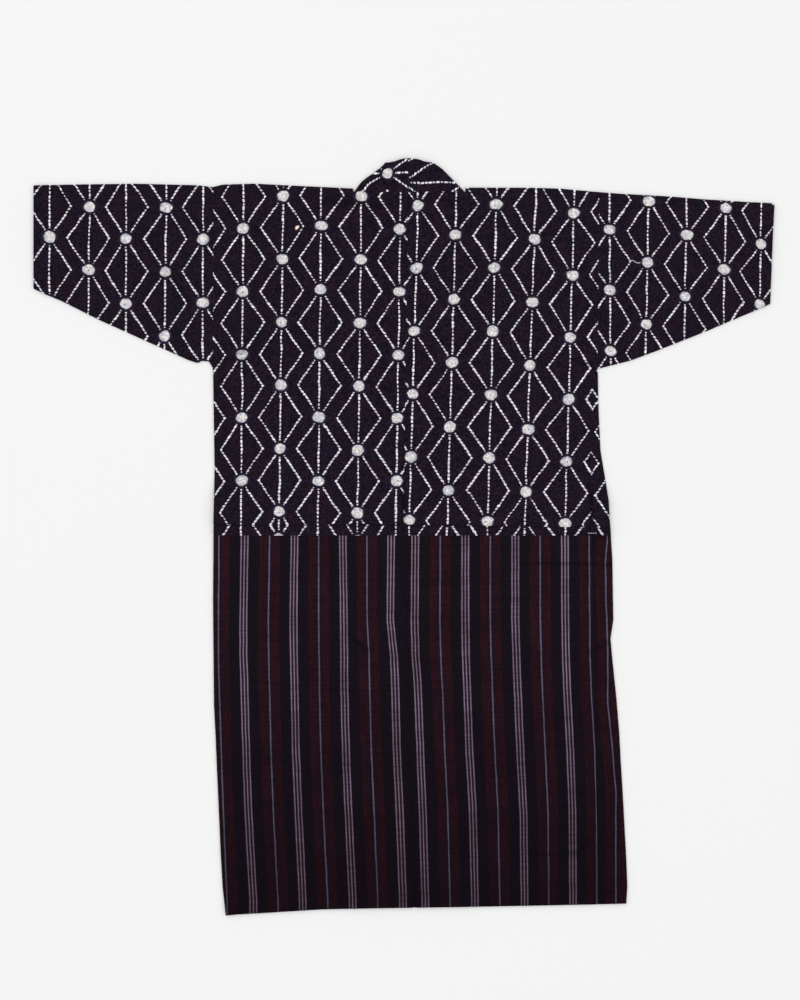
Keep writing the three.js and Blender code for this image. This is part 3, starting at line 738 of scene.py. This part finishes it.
BAND_WIDTH = 49
BAND_CROWN = 4.1  # how much wider it stands in the middle of the arch
BAND_LAYER = 0.6  # from the band's middle to the middle of each of its layers
BAND_BULGE = {"left": 1.6, "right": 0}  # how far its turn over the shoulder bows out, then in
BAND_EASE = 0.988  # share of the width that its layers fill, short of the folded edge
CENTRE_FRONT = 8.5
BAND_END = 5  # how far it ends above the hem
band_dot = {"left": (29.6, -50), "right": (14.4, 4)}  # a dot's place across the band and along it


def collar(side):
    out, foot, radius, across = OUT[side], BAND_FOOT[side], BAND_RADIUS, BAND_ANGLE
    high = 1 + 2 * radius
    half_seam = (BAND_FOOT["right"] - BAND_FOOT["left"]) / 2
    to_centre = abs(centre_at(NECK_SEAM) - foot)
    run_end = NECK_SEAM - hem_at(CENTRE_FRONT) - BAND_END
    slants = reading([(-to_centre, 0), (-55, 0.35), (-28, 0.68), (-8, 1), (14, 1), (36, 0.7), (62, 0.35),
                      (92, 0), (run_end, 0)])
    starts = np.concatenate([np.linspace(-to_centre, -9, 24), np.linspace(-7, 13, 41),
                             np.linspace(15, 90, 22), np.linspace(94, run_end, 210)])
    flat = spaced(BAND_WIDTH, 4, ends=(0, 1, 2.4, 4.5))[::-1]
    bend = np.linspace(-math.pi / 2, math.pi / 2, 9)[1:-1]
    shares = np.concatenate([flat[::-1], np.ones(len(bend)), flat]) * BAND_EASE
    beyond_edge = np.concatenate([0 * flat, BAND_LAYER * np.cos(bend), 0 * flat])
    sides = np.concatenate([-np.ones(len(flat)), np.sin(bend), np.ones(len(flat))])
    rows = []
    for start in starts:
        slant = float(slants(start))
        crown = BAND_CROWN * max(0, 1 - ((half_seam + start) / half_seam * 1.6) ** 2)
        width = shares * (BAND_WIDTH + crown) + beyond_edge
        flat_start = start - slant * width / math.tan(across)
        along = -flat_start * math.cos(across) + width * math.sin(across)
        past = flat_start * math.sin(across) + width * math.cos(across)
        angle = np.clip(past / radius, 0, math.pi)
        beyond = np.where(past > math.pi * radius, math.pi * radius - past, np.minimum(past, 0))
        open_edge = soft(np.minimum(width, 5) / 5)
        layer = radius + sides * BAND_LAYER * mix(0.45, 1, open_edge)
        offset = layer * np.sin(angle) + beyond
        x = foot - out * (along * math.cos(across) - offset * math.sin(across))
        y = NECK_SEAM + along * math.sin(across) + offset * math.cos(across)
        z = high - radius + layer * np.cos(angle)
        rise = (y - NECK_SEAM) / (BAND_WIDTH + crown)
        at_fold = soft(1 - np.abs(past) / 26) * soft(rise * 6) * soft((160 - flat_start) / 60)
        bulge = BAND_BULGE[side] * np.sin(math.pi * 2 * rise - 0.15) * at_fold
        corner = 2.6 * soft(1 - np.abs(past) / 15) * soft((width - 34) / 15)
        x = x + out * (bulge - corner / 2)
        y = y + bulge - corner
        line, dot = band_dot[side]
        from_fold = np.where(sides > 0, width, 2 * (BAND_WIDTH + crown) - width)
        chart = (from_fold - line) / REPEAT_X, (flat_start - dot) / REPEAT_Y
        rows.append(np.stack([x, y, z, *chart], axis=1))
    rows = np.array(rows)
    return cloth_piece(f"collar_band_{side}", rows[..., :3], rows[..., 3:])


for side in OUT:
    piece = collar(side)
    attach(piece, "root")
    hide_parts(f"collar_{side}")
    piece.data.materials.append(shibori_cotton)

# Lower cloth: two backs and two fronts of striped cotton, whose stripes run down from the waist
# seam. The right front comes round the right edge, so that its side seam lies on the back.

HEM = 12
# Where the stripes of each back run: y, then x of five of them
stripe_guides = {
    "left": [(-6, -296, -255, -175, -98, -20.5), (-134, -297, -257, -177, -96, -22),
             (-191, -297, -257, -176, -95.5, -16), (-246, -295.5, -255, -175, -95.5, -14),
             (-342, -292.5, -252.5, -173, -93, -11.5), (-438, -289, -249, -169, -89, -7),
             (-582, -283, -241, -162, -82, -1.5)],
    "right": [(-6, 18, 98, 178, 257.5, 296), (-134, 17, 98, 178, 258, 297),
              (-191, 18.5, 99, 180, 259, 297.5), (-246, 22.5, 101, 182, 261, 299.5),
              (-342, 26, 104.5, 186, 266, 305), (-438, 30, 110, 191, 269.5, 308),
              (-582, 34, 113.5, 193, 270.5, 308.5)],
}
stripe_numbers = {"left": (-0.5, 0, 1, 2, 3), "right": (0, 1, 2, 3, 3.5)}
strip_stripe = reading([(-582, 339), (-407, 339), (-324, 332), (-266, 326), (-178, 326),  # y, x
                        (-108, 323.5), (-44, 322), (-6, 325)])


def stripe_chart(side, x, y):
    guides = np.array(stripe_guides[side])[::-1]
    knots = [np.interp(y, guides[:, 0], guides[:, number]) for number in range(1, 6)]
    number = carried(x, knots, stripe_numbers[side])
    return np.minimum(number, 3.28) if side == "left" else number  # black up to the centre seam


def lower_height(x, y, hem):
    """Height of the lower back: from the waist seam's, over the front, up over the hem's plies."""
    from_waist = soft((WAIST - y) / 45)
    turned = 1.25 * (1 - soft((hem - HEM) / 26))
    return mix(WAIST_HEIGHT["back"], back_height(x, y), from_waist) + turned


LOWER_LENGTH = 600
WAIST_STEPS = (6, 4.2, 2.8, 1.6, 0.7, 0)  # how far below the waist seam the last rows lie


def lower_rows():
    """Rows of a lower panel, from its hem up: share of the way to the hem, rest, and depth."""
    turned_hem = hem_steps(HEM, (1.2, 2.4, 4, 6.5, 9.5, 12, 13.2, 15, 18))
    rows = [(1, rest, depth) for rest, depth in turned_hem]
    rows += [(share, 22 * share, 0) for share in np.linspace(1, 9 / LOWER_LENGTH, 140)]
    return rows + [(rest / LOWER_LENGTH, 0, 0) for rest in WAIST_STEPS]


def lower_back(side):
    shares = spaced(300, 4.2)
    rows = []
    for share, rest, depth in lower_rows():
        rough = mix(WAIST, hem_at(0), share) + rest
        outer = left_at(rough) + WALL / 2 if side == "left" else side_seam_at(rough)
        x = mix(outer, centre_at(rough), shares)
        y = mix(WAIST, hem_at(x) + WALL / 2, share) + rest
        z = lower_height(x, y, y - hem_at(x))
        z = sunk(z, np.abs(x - centre_at(rough)), y)
        z = sunk(z, np.abs(x - side_seam_at(rough)), y) if side == "right" else z
        z = mix(z, z - 0.7, soft(1 - (WAIST - y) / 4)) - depth
        chart = stripe_chart(side, x, y), (WAIST - y) / 1000 + 0 * x
        rows.append(np.stack([x, y, z, *chart], axis=1))
    rows = np.array(rows)
    return cloth_piece(f"lower_back_cloth_{side}", rows[..., :3], rows[..., 3:])


def lower_front(side):
    shares = spaced(250, 5)
    rows = []
    for share, rest, depth in lower_rows():
        rough = mix(WAIST, hem_at(0), share) + rest
        low = mix(WAIST_HEIGHT["front"], level(0), soft((WAIST - rough) / 45))
        hem_here = rough - hem_at(0)
        edge_high = float(lower_height(right_at(rough), rough, hem_here))
        middle, wrap_x, wrap_z, unrolled = wrap_columns(
            rough, low + depth, edge_high - depth, (edge_high - low) / 2,
            lambda at: lower_height(at, rough, hem_here) - depth)
        wrap_z = sunk(wrap_z, np.abs(wrap_x - side_seam_at(rough)), rough)
        outer = left_at(rough) + WALL / 2 if side == "left" else middle
        x = mix(outer, band_edge(side, rough), shares)
        shorter = 3 * (soft(np.abs(x - outer) / 30) if side == "right" else 1)
        y = mix(WAIST, hem_at(x) + WALL / 2 + shorter, share) + rest
        chart = stripe_chart(side, x, y), (WAIST - y) / 1000 + 0 * x
        row = np.stack([x, y, low + depth + 0 * x, *chart], axis=1)
        if side == "right":
            wrap_y = mix(WAIST, hem_at(wrap_x) + WALL / 2, share) + rest
            on_top = 2 * middle + math.pi * (edge_high - low) / 2 - unrolled
            chart = 3.5 + (on_top - strip_stripe(wrap_y)) / STRIPE_REPEAT, (WAIST - wrap_y) / 1000
            row = np.concatenate([np.stack([wrap_x, wrap_y, wrap_z, *chart], axis=1), row])
        rows.append(row)
    rows = np.array(rows)
    return cloth_piece(f"lower_front_cloth_{side}", rows[..., :3], rows[..., 3:])


for side in OUT:
    for face, piece in (("back", lower_back(side)), ("front", lower_front(side))):
        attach(piece, "root")
        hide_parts(f"lower_{face}_{side}")
        piece.data.materials.append(striped_cotton)

# Loose thread on the right sleeve, and white stitches where the waist seam meets the side seam:
# each a thin round thread along given points.

THREAD_RADIUS = 0.45
threads = {"thread_end": [(361, 441.6), (365, 442.4), (369, 440.6), (373, 438.4), (378, 438.6)]}  # x, y
for stitch in range(4):
    threads[f"waist_stitch_{stitch + 1}"] = [(294 + 3.7 * stitch, 6.3), (296.3 + 3.7 * stitch, 6.1)]
thread_cotton = bpy.data.materials.new("thread")
thread_cotton.use_nodes = True
thread_paint = thread_cotton.node_tree.nodes["Principled BSDF"]
thread_paint.inputs["Base Color"].default_value = (0.72, 0.7, 0.72, 1)
thread_paint.inputs["Roughness"].default_value = 0.9
for name, points in threads.items():
    lying_on = level(5) if name.startswith("waist") else None
    curve = bpy.data.curves.new(name, "CURVE")
    curve.dimensions, curve.bevel_depth, curve.use_fill_caps = "3D", THREAD_RADIUS * MM, True
    line = curve.splines.new("BEZIER")
    line.bezier_points.add(len(points) - 1)
    for knot, (x, y) in zip(line.bezier_points, points):
        height = lying_on or float(back_height(np.array(x), np.array(y)))
        knot.co = (x * MM, y * MM, (height + WALL / 2 + 0.3) * MM)
        knot.handle_left_type = knot.handle_right_type = "AUTO"
    thread = bpy.data.objects.new(name, curve)
    bpy.context.scene.collection.objects.link(thread)
    thread.data.materials.append(thread_cotton)
    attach(thread, "root")

# Studio: a pale floor, soft light from all round with a little more from the upper left, and the
# camera straight above.

floor_mesh = bmesh.new()
bmesh.ops.create_grid(floor_mesh, x_segments=1, y_segments=1, size=30)
floor_data = bpy.data.meshes.new("floor")
floor_mesh.to_mesh(floor_data)
floor_mesh.free()
floor = bpy.data.objects.new("floor", floor_data)
floor.data.transform(Matrix.Translation((0, 0, -0.4 * MM)))
bpy.context.scene.collection.objects.link(floor)
pale = bpy.data.materials.new("pale_floor")
pale.use_nodes = True
paint = pale.node_tree.nodes["Principled BSDF"]
paint.inputs["Base Color"].default_value = (0.876, 0.876, 0.876, 1)
paint.inputs["Roughness"].default_value = 0.9
paint.inputs["Specular IOR Level"].default_value = 0.1
floor.data.materials.append(pale)

world = bpy.data.worlds.new("studio")
bpy.context.scene.world = world
world.use_nodes = True
world.node_tree.nodes["Background"].inputs["Color"].default_value = (1, 1, 1, 1)
world.node_tree.nodes["Background"].inputs["Strength"].default_value = 0.97
lamp_data = bpy.data.lights.new("window", "AREA")
lamp_data.size, lamp_data.energy = 3.2, 19
lamp = bpy.data.objects.new("window", lamp_data)
lamp.location = (-1.1, 1.2, 4.2)
lamp.rotation_euler = (-lamp.location).to_track_quat("-Z", "Y").to_euler()
bpy.context.scene.collection.objects.link(lamp)
camera_data = bpy.data.cameras.new("camera")
camera_data.lens, camera_data.sensor_width = 85, 36
camera = bpy.data.objects.new("camera", camera_data)
camera.location = (-6.4 * MM, 59.2 * MM, 3.78)
bpy.context.scene.collection.objects.link(camera)
bpy.context.scene.camera = camera
bpy.context.scene.view_settings.view_transform = "Standard"
